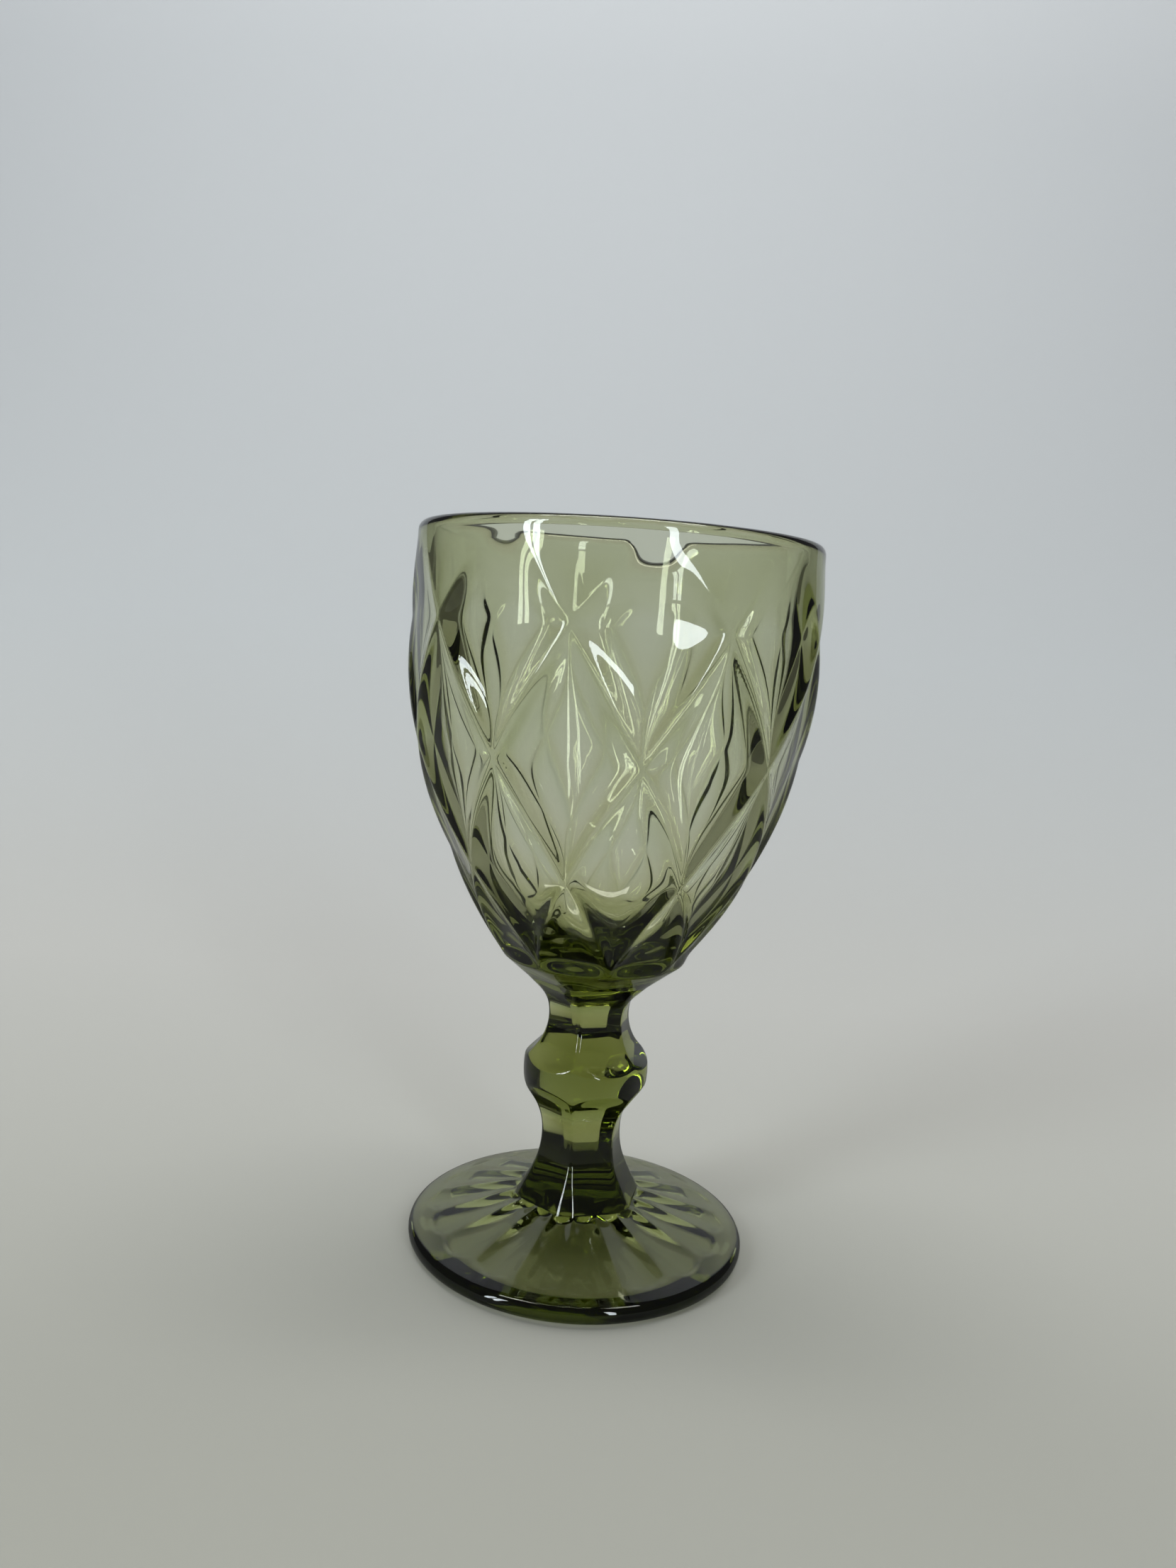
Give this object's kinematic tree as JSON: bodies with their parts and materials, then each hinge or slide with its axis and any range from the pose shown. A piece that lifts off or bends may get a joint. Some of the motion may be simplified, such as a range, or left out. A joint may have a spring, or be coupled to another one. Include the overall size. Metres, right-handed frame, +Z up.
{
  "type": "stemmed goblet",
  "caption": "Stemmed drinking goblet of green pressed glass: diamond-lattice bowl, hexagonal stem with a knop, fluted round foot.",
  "frame": {"origin": "centre of the flat face that the foot rests on", "axes": "+Z up along the stem's axis; a ridge of the stem and a column of the bowl's lattice face -Y"},
  "size_m": [0.0936, 0.0928, 0.168],
  "materials": {
    "glass": "fire-polished, clear, tinted olive green through its thickness"
  },
  "bodies": {
    "root": {"foot": "glass", "lower_stem": "glass", "knop": "glass", "upper_stem": "glass", "bowl": "glass"}
  },
  "joints": []
}
